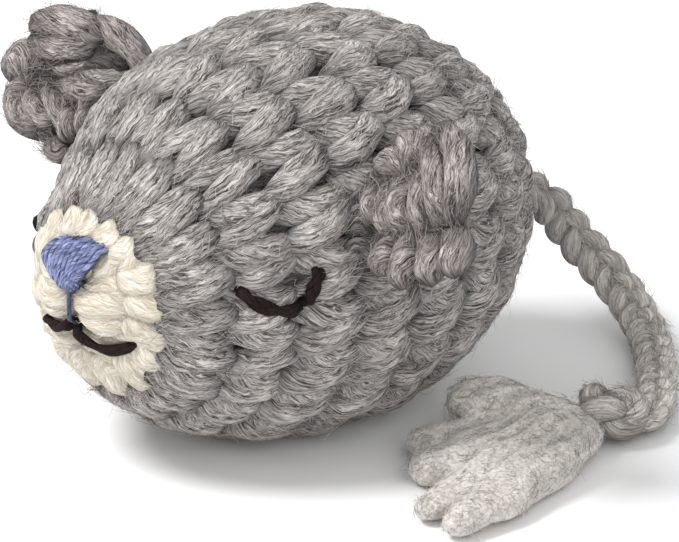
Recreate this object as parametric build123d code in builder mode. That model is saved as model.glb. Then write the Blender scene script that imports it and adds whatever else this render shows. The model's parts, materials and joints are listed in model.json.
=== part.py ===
from build123d import *
import math
import os

# Crocheted mouse: a stuffed body, two ears, an embroidered face and a cord tail with a tassel.
# Millimetres. The mouse stands on Z = 0, its nose points along -Y and its left side is +X.

# Body: a solid of revolution about a level axis, with a long nose end and a blunter rear.
body_radius = 33.5
nose_length = 48.4
rear_length = 43.0
belly_flat = 0.9
wall = 5.5
stuffing_play = 0.1
muzzle_edge = -41.0
axis_height = body_radius - belly_flat

# Ears: small round discs, sewn along one edge.
ear_centre = Vector(39.6, -8.3, axis_height + 17.9)
ear_facing = Vector(-0.15, -0.87, 0.47).normalized()
ear_radius = 12.5
ear_thickness = 6.4
ear_corner = 3.0
ear_rim_round = 2.9
seam_to_centre = 10.0
seam_radius = 1.4
seam_length = 14.0
seam_clearance = 0.5

# Embroidery: its threads stand this far proud of the wool.
thread_width = 1.9
fine_thread_width = 0.9
thread_height = 1.2
nose_height = 1.7
nose_corner = 1.9
eye_centre = Vector(27.6, -27.4, axis_height + 1.0)
through = 8.0

# Rear: the closed last round, and the ball that the tail turns on.
gather_radius = 10.0
root_centre = Vector(0, 43.2, axis_height - 4.8)
root_radius = 3.6
root_clearance = 0.3

# Tail: a cord that leaves the rear, comes down to the floor and runs forward beside the body.
tail_thickness = 6.2
tail_route = [
    Vector(0.0, 46.8, 26.3),
    Vector(0.0, 56.0, 22.2),
    Vector(4.0, 62.5, 14.5),
    Vector(12.5, 64.5, 7.6),
    Vector(23.0, 60.5, 3.3),
    Vector(33.5, 51.5, 3.3),
    Vector(43.5, 41.0, 3.3),
    Vector(50.5, 31.5, 3.3),
]
bend_share = 0.45

# Knot at the end of the tail, and the tassel beyond it.
knot_centre = Vector(46.0, 26.2, 4.4)
knot_radius = 4.4
knot_lobe_radius = 3.2
tassel_clearance = 0.3
floor_gap = 0.1
head_reach = 14.0
head_half_angle = 46.0
head_direction = -97.0
head_height = 10.5
lock_start = 14.3
head_round = 2.2
lock_corner = 1.2
lock_round = 1.0
# Each lock: direction in degrees from +X, half angle at its start, reach, half width at its tip,
# height of its underside and height of its top.
locks = [
    (-126.0, 7.5, 33.0, 4.0, 0.1, 6.6),
    (-110.0, 6.5, 36.0, 3.6, 0.1, 6.6),
    (-96.0, 5.5, 41.0, 3.2, 0.1, 5.6),
    (-81.5, 7.0, 48.0, 5.2, 0.1, 6.6),
    (-66.0, 7.0, 30.0, 4.6, 0.1, 7.6),
    (-128.0, 10.5, 25.0, 4.6, 7.2, 12.2),
]

os.makedirs("parts", exist_ok=True)


def egg(grow):
    """The whole body form, `grow` larger all round than the outer face of the wool."""
    profile_plane = Plane(origin=(0, 0, axis_height), x_dir=(0, 1, 0), z_dir=(1, 0, 0))
    with BuildPart() as form:
        with BuildSketch(profile_plane):
            with BuildLine():
                EllipticalCenterArc((0, 0), rear_length + grow, body_radius + grow, 0, arc_size=90)
                EllipticalCenterArc((0, 0), nose_length + grow, body_radius + grow, 90, arc_size=90)
                Line((-nose_length - grow, 0), (rear_length + grow, 0))
            make_face()
        revolve(axis=Axis((0, 0, axis_height), (0, 1, 0)))
    return form.part


def skin(height):
    """The thin layer just outside the wool, where the embroidery lies."""
    return egg(height) - egg(0)


def finish_piece(piece, label):
    """Label a finished piece and write it to its own file."""
    piece.part.label = label
    export_step(piece.part, f"parts/{label}.step")


def bend_radii(route):
    """One radius for each corner of a cord's route, as large as its two runs allow."""
    radii = []
    for before, corner, after in zip(route, route[1:], route[2:]):
        run_in = corner - before
        run_out = after - corner
        half_turn = math.radians(run_in.get_angle(run_out)) / 2
        radii.append(bend_share * min(run_in.length, run_out.length) / math.tan(half_turn))
    return radii


outer_form = egg(0)
inner_form = egg(-wall)
filling_form = egg(-wall - stuffing_play)
thread_skin = skin(thread_height)
nose_skin = skin(nose_height)
muzzle_cut = Plane(origin=(0, muzzle_edge, 0), z_dir=(0, -1, 0))
rear_plane = Plane(origin=(0, rear_length + wall, axis_height), z_dir=(0, -1, 0))

# Body, muzzle, closing gather and filling

with BuildPart() as body_shell:
    add(outer_form)
    add(inner_form, mode=Mode.SUBTRACT)
    split(bisect_by=muzzle_cut, keep=Keep.BOTTOM)
    split(bisect_by=Plane.XY, keep=Keep.TOP)
    with BuildSketch(rear_plane):
        Circle(gather_radius)
    extrude(amount=rear_length, mode=Mode.SUBTRACT)
finish_piece(body_shell, "body_shell")

with BuildPart() as muzzle_cap:
    add(outer_form)
    add(inner_form, mode=Mode.SUBTRACT)
    split(bisect_by=muzzle_cut, keep=Keep.TOP)
finish_piece(muzzle_cap, "muzzle_cap")

with BuildPart() as rear_gather:
    with BuildSketch(rear_plane):
        Circle(gather_radius)
    extrude(amount=rear_length)
    add(outer_form, mode=Mode.INTERSECT)
    add(inner_form, mode=Mode.SUBTRACT)
    with Locations(root_centre):
        Sphere(root_radius + root_clearance, mode=Mode.SUBTRACT)
finish_piece(rear_gather, "rear_gather")

with BuildPart() as stuffing:
    add(filling_form)
finish_piece(stuffing, "stuffing")

# Ears, and the yarn that each is sewn on with

for side, sign in (("left", 1), ("right", -1)):
    centre = Vector(sign * ear_centre.X, ear_centre.Y, ear_centre.Z)
    facing = Vector(sign * ear_facing.X, ear_facing.Y, ear_facing.Z)
    from_axis = Vector(centre.X, 0, centre.Z - axis_height)
    outward = (from_axis - facing * from_axis.dot(facing)).normalized()
    seam_centre = centre - outward * seam_to_centre
    ear_plane = Plane(origin=centre, x_dir=outward, z_dir=facing)
    seam_plane = Plane(origin=seam_centre, z_dir=outward.cross(facing))
    cut_edge = seam_to_centre - seam_radius - seam_clearance

    with BuildPart() as ear:
        with BuildSketch(ear_plane) as outline:
            Circle(ear_radius)
            with Locations((-cut_edge - ear_radius, 0)):
                Rectangle(2 * ear_radius, 3 * ear_radius, mode=Mode.SUBTRACT)
            fillet(outline.vertices(), ear_corner)
        extrude(amount=ear_thickness / 2, both=True)
        fillet(ear.faces().filter_by(ear_plane).edges(), ear_rim_round)
    finish_piece(ear, f"{side}_ear")

    with BuildPart() as ear_seam:
        with BuildSketch(seam_plane):
            Circle(seam_radius)
        extrude(amount=seam_length / 2, both=True)
        fillet(ear_seam.edges().filter_by(GeomType.CIRCLE), seam_radius / 2)
        add(outer_form, mode=Mode.SUBTRACT)
    finish_piece(ear_seam, f"{side}_ear_seam")
    print(f"{side} ear hinge at", seam_centre, "axis", outward.cross(facing))

# Face: each embroidered stitch is a strip of the skin over the wool

face_origin = (0, -nose_length - through / 2, axis_height)
face_plane = Plane(origin=face_origin, z_dir=(0, -1, 0), x_dir=(1, 0, 0))

with BuildPart() as nose:
    with BuildSketch(face_plane) as nose_outline:
        with BuildLine():
            Polyline((-7.6, 9.0), (5.2, 9.6), (-0.6, 1.2), close=True)
        make_face()
        fillet(nose_outline.vertices(), nose_corner)
    extrude(amount=-2 * through)
    add(nose_skin, mode=Mode.INTERSECT)
finish_piece(nose, "nose")

face_threads = {
    "philtrum": (fine_thread_width, [(-0.3, 0.6), (-0.7, -1.8), (-1.2, -3.9)]),
    "mouth_left": (thread_width, [(-0.2, -5.8), (3.6, -8.0), (9.7, -5.3)]),
    "mouth_right": (thread_width, [(-2.7, -5.6), (-5.8, -6.9), (-9.3, -7.0)]),
}
for label, (width, (start, middle, end)) in face_threads.items():
    with BuildLine() as thread_line:
        ThreePointArc(start, middle, end)
    with BuildPart() as face_thread:
        with BuildSketch(face_plane):
            SlotArc(thread_line.edge(), width)
        extrude(amount=-2 * through)
        add(thread_skin, mode=Mode.INTERSECT)
    finish_piece(face_thread, label)

eye_threads = {
    "eye_lid": [(-8.4, 2.9), (-2.5, -1.0), (3.2, -1.7)],
    "eye_lash": [(4.2, 0.6), (5.1, 2.7), (6.1, 4.8)],
}
eye_outward = Vector(
    eye_centre.X / body_radius**2,
    eye_centre.Y / nose_length**2,
    (eye_centre.Z - axis_height) / body_radius**2,
).normalized()
for side, sign in (("left", 1), ("right", -1)):
    eye_plane = Plane(
        origin=(sign * eye_centre.X, eye_centre.Y, eye_centre.Z),
        x_dir=(-eye_outward.Y, sign * eye_outward.X, 0),
        z_dir=(sign * eye_outward.X, eye_outward.Y, eye_outward.Z),
    )
    for label, stitch in eye_threads.items():
        with BuildLine() as thread_line:
            ThreePointArc(*[(sign * x, y) for x, y in stitch])
        with BuildPart() as eye_thread:
            with BuildSketch(eye_plane):
                SlotArc(thread_line.edge(), thread_width)
            extrude(amount=through / 2, both=True)
            add(thread_skin, mode=Mode.INTERSECT)
        finish_piece(eye_thread, f"{side}_{label}")

# Tail

with BuildPart() as tail_root:
    with Locations(root_centre):
        Sphere(root_radius)
finish_piece(tail_root, "tail_root")

tail_radii = bend_radii(tail_route)
with BuildLine() as tail_line:
    FilletPolyline(*tail_route, radius=tail_radii)
tail_path = tail_line.wire()
with BuildPart() as tail_cord:
    with BuildSketch(Plane(origin=tail_path @ 0, z_dir=tail_path % 0)):
        Circle(tail_thickness / 2)
    sweep(path=tail_path)
finish_piece(tail_cord, "tail_cord")
tail_section = math.pi * (tail_thickness / 2) ** 2
print("tail bend radii", [round(radius, 1) for radius in tail_radii])
print("tail length", round(tail_path.length, 1))
print("tail volume share", round(tail_cord.part.volume / (tail_section * tail_path.length), 4))

with BuildPart() as tail_knot:
    with Locations(knot_centre):
        Sphere(knot_radius)
    with Locations(tail_path @ 1):
        Sphere(knot_lobe_radius)
    split(bisect_by=Plane(origin=tail_path @ 1, z_dir=tail_path % 1), keep=Keep.TOP)
finish_piece(tail_knot, "tail_knot")

# Tassel: a puffed head, and flat locks that fan out from it


def spoke(angle, reach):
    """A point in plan, `reach` from the middle of the knot in the direction `angle`."""
    return (
        knot_centre.X + reach * math.cos(math.radians(angle)),
        knot_centre.Y + reach * math.sin(math.radians(angle)),
    )


head_start = knot_radius + tassel_clearance
with BuildPart() as tassel_head:
    with BuildSketch(Plane.XY.offset(floor_gap)) as head_outline:
        with BuildLine():
            low_angle = head_direction - head_half_angle
            high_angle = head_direction + head_half_angle
            inner = RadiusArc(spoke(low_angle, head_start), spoke(high_angle, head_start), -head_start)
            outer = RadiusArc(spoke(high_angle, head_reach), spoke(low_angle, head_reach), head_reach)
            Line(inner @ 1, outer @ 0)
            Line(outer @ 1, inner @ 0)
        make_face()
    extrude(amount=head_height - floor_gap)
    rim = tassel_head.faces().sort_by(Axis.Z)[-1].edges()
    fillet(rim.sort_by(SortBy.LENGTH)[-3:], head_round)
finish_piece(tassel_head, "tassel_head")

for number, (direction, half_angle, reach, tip_half_width, underside, top) in enumerate(locks, 1):
    with BuildPart() as tassel_lock:
        with BuildSketch(Plane.XY.offset(underside)) as lock_outline:
            with BuildLine():
                tip_spread = math.degrees(math.atan(tip_half_width / reach))
                Polyline(
                    spoke(direction - half_angle, lock_start),
                    spoke(direction - tip_spread, reach),
                    spoke(direction + tip_spread, reach),
                    spoke(direction + half_angle, lock_start),
                    close=True,
                )
            make_face()
            fillet(lock_outline.vertices(), lock_corner)
        extrude(amount=top - underside)
        fillet(tassel_lock.faces().sort_by(Axis.Z)[-1].edges(), lock_round)
    finish_piece(tassel_lock, f"tassel_lock_{number}")
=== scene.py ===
import json
import math

import bpy
import numpy as np
from mathutils import Matrix, Vector


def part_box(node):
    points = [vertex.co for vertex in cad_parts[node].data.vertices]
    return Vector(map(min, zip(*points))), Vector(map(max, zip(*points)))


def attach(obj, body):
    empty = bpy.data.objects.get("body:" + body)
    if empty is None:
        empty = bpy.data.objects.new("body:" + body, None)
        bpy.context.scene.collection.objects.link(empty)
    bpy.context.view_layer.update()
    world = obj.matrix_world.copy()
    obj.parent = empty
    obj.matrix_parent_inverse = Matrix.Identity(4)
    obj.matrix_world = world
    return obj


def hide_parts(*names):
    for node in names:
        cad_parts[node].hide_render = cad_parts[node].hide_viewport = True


# A crocheted wool mouse. Lengths below are millimetres in the row frame: the nose points along -Y,
# the mouse's left side is +X and it stands on Z = 0. Meshes are written in metres.

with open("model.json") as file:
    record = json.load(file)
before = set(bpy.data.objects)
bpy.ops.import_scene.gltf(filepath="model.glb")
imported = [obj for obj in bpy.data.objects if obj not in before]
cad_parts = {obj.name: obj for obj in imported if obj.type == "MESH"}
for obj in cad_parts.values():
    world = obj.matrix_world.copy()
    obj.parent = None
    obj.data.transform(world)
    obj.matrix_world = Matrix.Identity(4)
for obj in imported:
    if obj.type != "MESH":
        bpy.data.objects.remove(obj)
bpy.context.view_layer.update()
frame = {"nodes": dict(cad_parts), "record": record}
MM = 0.001


def node_box(node):
    low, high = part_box(node)
    return np.array(low) / MM, np.array(high) / MM


def joint(name):
    """A joint's point in millimetres and its axis."""
    found = next(j for j in frame["record"]["behaviour"]["joints"] if j["name"] == name)
    return np.array(found["pos_m"]) / MM, np.array(found["axis"], float)


def fit(obj, body, slot, *nodes):
    """Gives a piece its body and hides the CAD nodes that it replaces. Its `slot` is not used."""
    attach(obj, body)
    if nodes:
        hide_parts(*nodes)
    return obj


def unit(v):
    v = np.asarray(v, float)
    return v / np.maximum(np.linalg.norm(v, axis=-1, keepdims=True), 1e-9)


# The body's form: two half ellipsoids on one level axis

shell_low, shell_high = node_box("body_shell")
BODY_R = (shell_high[0] - shell_low[0]) / 2
AXIS_Z = shell_high[2] - BODY_R
NOSE_Y = -node_box("muzzle_cap")[0][1]
REAR_Y = node_box("rear_gather")[1][1]
FLOOR = 0.12  # the lowest that the wool comes
FLOOR_SOFTNESS = 0.45

pole_angles = np.linspace(0, math.pi, 4001)
half_lengths = np.where(pole_angles < math.pi / 2, NOSE_Y, REAR_Y)
arc_rates = np.hypot(half_lengths * np.sin(pole_angles), BODY_R * np.cos(pole_angles))
arc_steps = (arc_rates[1:] + arc_rates[:-1]) / 2 * np.diff(pole_angles)
pole_arcs = np.concatenate([[0], np.cumsum(arc_steps)])
BODY_ARC = pole_arcs[-1]


def form_outward(rel, length):
    """Unit normals of the form at points `rel` from its middle, where its half length is `length`."""
    radius = np.full(length.shape, BODY_R**2)
    return unit(rel / np.stack([radius, length**2, radius], -1))


def on_body(s, phi, height=0.0):
    """Points at arc length s from the nose's pole and phi degrees about the axis (0 on top, +X side
    at 90), `height` above the outer face of the wool, and the outward normals there."""
    s, phi, height = np.broadcast_arrays(np.asarray(s, float), np.asarray(phi, float), height)
    th = np.interp(np.clip(s, 0, BODY_ARC), pole_arcs, pole_angles)
    ph = np.radians(phi)
    length = np.where(th < math.pi / 2, NOSE_Y, REAR_Y)
    radial = np.stack([np.sin(ph), np.zeros_like(ph), np.cos(ph)], -1)
    point = radial * (BODY_R * np.sin(th))[..., None]
    point[..., 1] = -length * np.cos(th)
    normal = form_outward(point, length)
    point = point + normal * height[..., None]
    point[..., 2] += AXIS_Z
    return point, normal


def girth(s):
    """The body's circumference at arc length s."""
    return 2 * math.pi * BODY_R * math.sin(np.interp(s, pole_arcs, pole_angles))


def settle(points):
    """Presses points that would go through the floor flat against it."""
    z = points[..., 2]
    low = z < FLOOR + 6 * FLOOR_SOFTNESS
    pressed = FLOOR + FLOOR_SOFTNESS * np.log1p(np.exp((np.minimum(z, 9) - FLOOR) / FLOOR_SOFTNESS))
    points[..., 2] = np.where(low, pressed, z)
    return points


# Lines and meshes of tubes


def distances(path):
    """How far along a path each of its points lies."""
    return np.concatenate([[0], np.cumsum(np.linalg.norm(np.diff(path, axis=0), axis=1))])


def evenly(path, count):
    """The same line in even steps."""
    along = distances(path)
    wanted = np.linspace(0, along[-1], count)
    return np.stack([np.interp(wanted, along, path[:, k]) for k in range(3)], -1)


def spline(points, count):
    """A smooth line through a few points, evenly divided."""
    points = np.asarray(points, float)
    if len(points) == 2:
        return points[0] + (points[1] - points[0]) * np.linspace(0, 1, count)[:, None]
    padded = np.vstack([2 * points[0] - points[1], points, 2 * points[-1] - points[-2]])
    dense = []
    for i in range(1, len(points)):
        a, b, c, d = padded[i - 1 : i + 3]
        t = np.linspace(0, 1, 24, endpoint=i == len(points) - 1)[:, None]
        square = 2 * a - 5 * b + 4 * c - d
        cube = 3 * b - a - 3 * c + d
        dense.append(0.5 * (2 * b + (c - a) * t + square * t**2 + cube * t**3))
    return evenly(np.vstack(dense), count)


def tube(rows, sides):
    """Quads and end caps of a closed tube whose points are rings."""
    ring = np.arange(sides)
    after = (ring + 1) % sides
    base = np.arange(rows - 1)[:, None] * sides
    quads = [base + ring, base + after, base + sides + after, base + sides + ring]
    caps = [ring[::-1], (rows - 1) * sides + ring]
    return np.stack(quads, -1).reshape(-1, 4), np.stack(caps)


def write_mesh(name, verts, quads, caps, fibre, shade, material):
    """A smooth mesh. It carries `fibre` (across, along and strand number) and `shade`, a painted shade
    that darkens the colour (0 in depths).
    """
    mesh = bpy.data.meshes.new(name)
    mesh.vertices.add(len(verts))
    mesh.vertices.foreach_set("co", (verts * MM).astype(np.float32).ravel())
    loops = np.concatenate([quads.ravel(), caps.ravel()])
    cap_starts = quads.size + np.arange(len(caps)) * caps.shape[1]
    starts = np.concatenate([np.arange(len(quads)) * 4, cap_starts])
    mesh.loops.add(len(loops))
    mesh.loops.foreach_set("vertex_index", loops.astype(np.int32))
    mesh.polygons.add(len(starts))
    mesh.polygons.foreach_set("loop_start", starts.astype(np.int32))
    mesh.polygons.foreach_set("use_smooth", np.ones(len(starts), bool))
    mesh.update(calc_edges=True)
    layer = mesh.attributes.new("fibre", "FLOAT_VECTOR", "POINT")
    layer.data.foreach_set("vector", fibre.astype(np.float32).ravel())
    layer = mesh.attributes.new("shade", "FLOAT", "POINT")
    layer.data.foreach_set("value", shade.astype(np.float32))
    mesh.materials.append(material)
    obj = bpy.data.objects.new(name, mesh)
    bpy.context.scene.collection.objects.link(obj)
    return obj


# Yarn: strands with ridges of fibre, and loose fibres

FIBRE_WAVES = ((4, 0.10), (7, 0.10), (9, 0.08), (12, 0.06), (13, 0.05))  # ridges round a strand, depth
STRAND_SHIFT = 7.31  # keeps the fibre patterns of two strands apart
FIBRE_ROWS = 5
FIBRE_SIDES = 3
FIBRE_SINK = 0.08


class Yarn:
    """Collects strands of yarn and writes them as one mesh."""

    def __init__(self, seed, sides=28):
        self.rng = np.random.default_rng(seed)
        self.sides = sides
        self.parts = []
        self.total = 0

    def add(
        self, path, up, wide, tall, ridge=1.0, twist=0.35, shade=1.0, bulge=0.05, press=None, fold=0.65
    ):
        """A closed strand along a path. `wide` and `tall` are half sizes, `up` is the side that shows
        and the last argument is how much painted shade darkens the flanks."""
        path = np.asarray(path, float)
        count = len(path)
        rng = self.rng
        wide = np.broadcast_to(np.asarray(wide, float), (count,))
        tall = np.broadcast_to(np.asarray(tall, float), (count,))
        shade = np.broadcast_to(np.asarray(shade, float), (count,))
        tangent = unit(np.gradient(path, axis=0))
        side = unit(np.cross(tangent, up))
        over = unit(np.cross(side, tangent))
        angle = np.arange(self.sides) / self.sides * 2 * math.pi - math.pi / 2
        along = distances(path)[:, None]
        turn = twist * along
        grain = np.zeros((count, self.sides))
        for waves, depth in FIBRE_WAVES:
            phase, beat, _ = rng.uniform(0, 2 * math.pi, 3)
            rate = rng.uniform(0.25, 0.7)
            fade = 0.65 + 0.35 * np.cos(rate * along + beat)
            grain += depth * np.cos(waves * angle + phase + turn * waves / 6) * fade
        lump = bulge * np.cos(angle * 2 + rng.uniform(0, 6.3))
        swell = 1 + lump * np.cos(0.5 * along + rng.uniform(0, 6.3))
        grain = grain * ridge * np.minimum(1, tall / 1.2)[:, None]
        x = (wide[:, None] * swell + grain) * np.cos(angle)
        z = (tall[:, None] * swell + grain) * np.sin(angle)
        verts = path[:, None] + side[:, None] * x[..., None] + over[:, None] * z[..., None]
        if press is not None:
            verts = press(verts)
        perimeter = math.pi * (wide + tall)[:, None] * (angle + math.pi / 2) / (2 * math.pi)
        fibre = np.empty(verts.shape)
        fibre[..., 0] = perimeter + turn * 0.9
        fibre[..., 1] = along
        fibre[..., 2] = len(self.parts) * STRAND_SHIFT
        # painted shade: the flanks and underside darken, most at the bottom
        flank = 1 - fold * (1 - np.clip((np.sin(angle) + 0.75) / 1.35, 0, 1))
        outward = side[:, None] * np.cos(angle)[:, None] + over[:, None] * np.sin(angle)[:, None]
        quads, caps = tube(count, self.sides)
        self.parts.append(
            dict(
                verts=verts.reshape(-1, 3),
                quads=quads + self.total,
                caps=caps + self.total,
                fibre=fibre.reshape(-1, 3),
                shade=(shade[:, None] * flank).ravel(),
                normal=unit(outward).reshape(-1, 3),
                tangent=np.broadcast_to(tangent[:, None], verts.shape).reshape(-1, 3),
                top=np.broadcast_to(np.sin(angle), grain.shape).ravel(),
            )
        )
        self.total += count * self.sides

    def gather(self, key):
        return np.concatenate([part[key] for part in self.parts])

    def build(self, name, material):
        arrays = [self.gather(key) for key in ("verts", "quads", "caps", "fibre", "shade")]
        return write_mesh(name, *arrays, material)


def loose_fibres(name, start, normal, tangent, material, length, radius, lift, seed, press, curl=0.16):
    """Thin closed tubes that begin at `start` and run near `tangent`, standing off a surface."""
    rng = np.random.default_rng(seed)
    number = len(start)
    tangent = tangent * rng.choice([-1, 1], (number, 1))
    side = unit(np.cross(normal, tangent))
    size = rng.uniform(*length, (number, 1))
    rise = rng.gamma(2.0, lift / 2, (number, 1))
    drift = rng.normal(0, 0.35, (number, 1))
    wave_size = rng.normal(0, curl, (number, 1))
    u = np.linspace(0, 1, FIBRE_ROWS)[:, None, None]
    wave = np.sin(u * 5 + rng.uniform(0, 6.3, (number, 1)))
    path = (
        start
        - normal * FIBRE_SINK
        + size * (u * tangent + drift * u * side + normal * rise * (u - 0.55 * u**2))
        + size * wave_size * (wave - wave[0]) * side
    )
    if press is not None:
        path = press(path)
    direction = unit(np.gradient(path, axis=0))
    across = unit(np.cross(direction, normal + 0.01))
    over = unit(np.cross(across, direction))
    angle = (np.arange(FIBRE_SIDES) / FIBRE_SIDES * 2 * math.pi)[:, None]
    thick = radius * rng.uniform(0.7, 1.3, (number, 1)) * (1 - 0.6 * u**2)
    ring = across[..., None, :] * np.cos(angle) + over[..., None, :] * np.sin(angle)
    verts = path[..., None, :] + ring * thick[..., None]
    verts = verts.transpose(1, 0, 2, 3).reshape(-1, 3)
    per_fibre = FIBRE_ROWS * FIBRE_SIDES
    first = np.arange(number)[:, None, None] * per_fibre
    quads, caps = tube(FIBRE_ROWS, FIBRE_SIDES)
    quads = (first + quads).reshape(-1, 4)
    caps = (first + caps).transpose(1, 0, 2).reshape(-1, FIBRE_SIDES)
    fibre = np.repeat(rng.uniform(0, 300, (number, 3)), per_fibre, axis=0)
    return write_mesh(name, verts, quads, caps, fibre, np.ones(len(verts)), material)


def fuzz(name, yarn, number, material, length, seed, radius=0.04, lift=0.3, press=None):
    """Stray fibres all over a yarn's strands."""
    rng = np.random.default_rng(seed)
    allowed = np.flatnonzero((yarn.gather("top") > 0.0) & (yarn.gather("shade") > 0.35))
    pick = rng.choice(allowed, number)
    parts = [yarn.gather(key)[pick] for key in ("verts", "normal", "tangent")]
    return loose_fibres(name, *parts, material, length, radius, lift, seed, press)


# Materials


class Nodes:
    """A short way to write a material's node tree."""

    def __init__(self, name):
        self.material = bpy.data.materials.new(name)
        self.material.use_nodes = True
        self.tree = self.material.node_tree
        self.shader = self.tree.nodes["Principled BSDF"]

    def feed(self, socket, value):
        """Links a node's output to an input, or sets the input's value."""
        if isinstance(value, bpy.types.NodeSocket):
            self.tree.links.new(value, socket)
        else:
            socket.default_value = value

    def new(self, kind, inputs=None, **settings):
        node = self.tree.nodes.new(kind)
        for key, value in settings.items():
            setattr(node, key, value)
        for key, value in (inputs or {}).items():
            self.feed(node.inputs[key], value)
        return node

    def surface(self, inputs):
        """Sets or links the shader's inputs."""
        for key, value in inputs.items():
            self.feed(self.shader.inputs[key], value)
        return self.material

    def math(self, operation, a, b=0.0):
        return self.new("ShaderNodeMath", {0: a, 1: b}, operation=operation).outputs[0]

    def mix(self, factor, a, b, blend="MIX"):
        inputs = {0: factor, 6: a, 7: b}
        return self.new("ShaderNodeMix", inputs, data_type="RGBA", blend_type=blend).outputs[2]

    def ramp(self, value, low, high, start=0.0):
        """A value's place between low and high, from `start` to 1."""
        inputs = {"Value": value, "From Min": low, "From Max": high, "To Min": start}
        return self.new("ShaderNodeMapRange", inputs).outputs[0]

    def noise(self, vector, scale, detail, **more):
        inputs = {"Vector": vector, "Scale": scale, "Detail": detail, **more}
        return self.new("ShaderNodeTexNoise", inputs).outputs["Fac"]

    def lines(self, level, thin):
        """1 on the thin wandering lines where a noise crosses its middle, 0 elsewhere."""
        gap = self.math("ABSOLUTE", self.math("SUBTRACT", level, 0.5))
        return self.math("SUBTRACT", 1.0, self.ramp(gap, 0.0, thin))

    def tint(self, ground, mask, amount, colour):
        """The ground with up to `amount` of a colour where the mask is 1."""
        return self.mix(self.math("MULTIPLY", mask, amount), ground, colour)

    def bumps(self, relief, strength, depth):
        inputs = {"Height": relief, "Strength": strength, "Distance": depth}
        return self.new("ShaderNodeBump", inputs).outputs[0]


def rgb(*levels):
    """sRGB 0-255 to a linear colour."""
    linear = (((c / 255 + 0.055) / 1.055) ** 2.4 if c > 10 else c / 255 / 12.92 for c in levels)
    return (*linear, 1.0)


def wool(
    name, *colours, patch=0.3, streak=1.0, hairs=0.85, across_mm=3.1, sheen=0.12, bump=0.9, rough=0.9
):
    """Yarn: dark, middle and light fibres that run along the strand, single dark and light hairs over
    them, uneven patches, and painted shade from the `shade` attribute in the depths and on the flanks."""
    n = Nodes(name)
    dark, middle, light = (rgb(*colour) for colour in colours)
    fibre = n.new("ShaderNodeAttribute", attribute_name="fibre").outputs["Vector"]
    shade = n.new("ShaderNodeAttribute", attribute_name="shade").outputs["Fac"]
    part = n.new("ShaderNodeSeparateXYZ", {"Vector": fibre})
    across = n.math("ADD", part.outputs["X"], n.math("MULTIPLY", n.noise(fibre, 0.6, 1.0), 1.1))

    def streaks(per_mm, along_mm, shift, detail=1.0):
        parts = {
            "X": n.math("MULTIPLY", across, per_mm),
            "Y": n.math("MULTIPLY", part.outputs["Y"], along_mm),
            "Z": n.math("ADD", part.outputs["Z"], shift),
        }
        vector = n.new("ShaderNodeCombineXYZ", parts).outputs[0]
        return n.noise(vector, 1.0, detail, Roughness=0.65)

    strand = streaks(across_mm, 0.30, 0.0, 3.0)
    lock = streaks(across_mm * 0.32, 0.16, 40.0, 2.0)
    black_hair = n.lines(streaks(across_mm * 0.7, 0.30, 90.0), 0.04)
    white_hair = n.lines(streaks(across_mm * 0.75, 0.24, 160.0), 0.035)
    cloud = n.noise(n.new("ShaderNodeTexCoord").outputs["Object"], 110.0, 2.0)
    spread = 0.095 / streak
    colour = n.mix(n.ramp(strand, 0.5 - spread, 0.5 + spread), dark, light)
    colour = n.mix(0.14, colour, middle)
    for mask, amount, over in (
        (n.ramp(lock, 0.45, 0.75), 0.5, light),
        (n.ramp(lock, 0.5, 0.25), 0.5, dark),
        (black_hair, hairs, dark),
        (white_hair, hairs, light),
        (n.ramp(cloud, 0.45, 0.75), patch, dark),
    ):
        colour = n.tint(colour, mask, amount, over)
    # painted shade: the colour is multiplied down to a tenth where the `shade` attribute is low
    depth = n.ramp(shade, 0.1, 0.95, start=0.10)
    dim = n.new("ShaderNodeCombineColor", {c: depth for c in ("Red", "Green", "Blue")})
    colour = n.mix(1.0, colour, dim.outputs[0], "MULTIPLY")
    relief = n.math("ADD", n.math("MULTIPLY", strand, 0.7), n.math("MULTIPLY", lock, 1.0))
    relief = n.math("ADD", relief, n.math("MULTIPLY", white_hair, 0.2))
    return n.surface(
        {
            "Base Color": colour,
            "Normal": n.bumps(relief, bump, 0.0006),
            "Roughness": rough,
            "Specular IOR Level": 0.2,
            "Sheen Weight": sheen,
            "Sheen Roughness": 0.5,
        }
    )


def stray(name, dark, light):
    """Single loose fibres, each with its own shade."""
    n = Nodes(name)
    fibre = n.new("ShaderNodeAttribute", attribute_name="fibre").outputs["Vector"]
    pick = n.new("ShaderNodeTexWhiteNoise", {"Vector": fibre}, noise_dimensions="3D")
    colour = n.mix(pick.outputs["Value"], dark, light)
    return n.surface({"Base Color": colour, "Roughness": 0.7, "Specular IOR Level": 0.3})


def felt_wool():
    """Felted wool: short curled fibres in every direction on a pale ground."""
    n = Nodes("felted_tassel_wool")
    place = n.new("ShaderNodeTexCoord").outputs["Object"]

    def curls(scale, thin, distort):
        return n.lines(n.noise(place, scale, 1.0, Distortion=distort), thin)

    mottle = n.ramp(n.noise(place, 1500, 3.0), 0.35, 0.65)
    ground = n.mix(mottle, rgb(182, 176, 169), rgb(218, 213, 208))
    for mask, amount, colour in (
        (n.ramp(n.noise(place, 120, 2.0), 0.52, 0.72), 0.4, rgb(140, 130, 120)),
        (curls(420, 0.012, 2.2), 0.75, rgb(78, 70, 66)),
        (curls(280, 0.010, 2.6), 0.7, rgb(84, 76, 70)),
        (curls(640, 0.016, 2.0), 0.45, rgb(96, 88, 82)),
        (curls(520, 0.02, 2.2), 0.5, rgb(236, 233, 229)),
    ):
        ground = n.tint(ground, mask, amount, colour)
    relief = n.math("ADD", n.noise(place, 1200, 3.0), n.math("MULTIPLY", curls(520, 0.05, 2.2), 0.4))
    return n.surface(
        {
            "Base Color": ground,
            "Normal": n.bumps(relief, 0.35, 0.0005),
            "Roughness": 0.95,
            "Specular IOR Level": 0.15,
            "Sheen Weight": 0.3,
        }
    )


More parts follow.
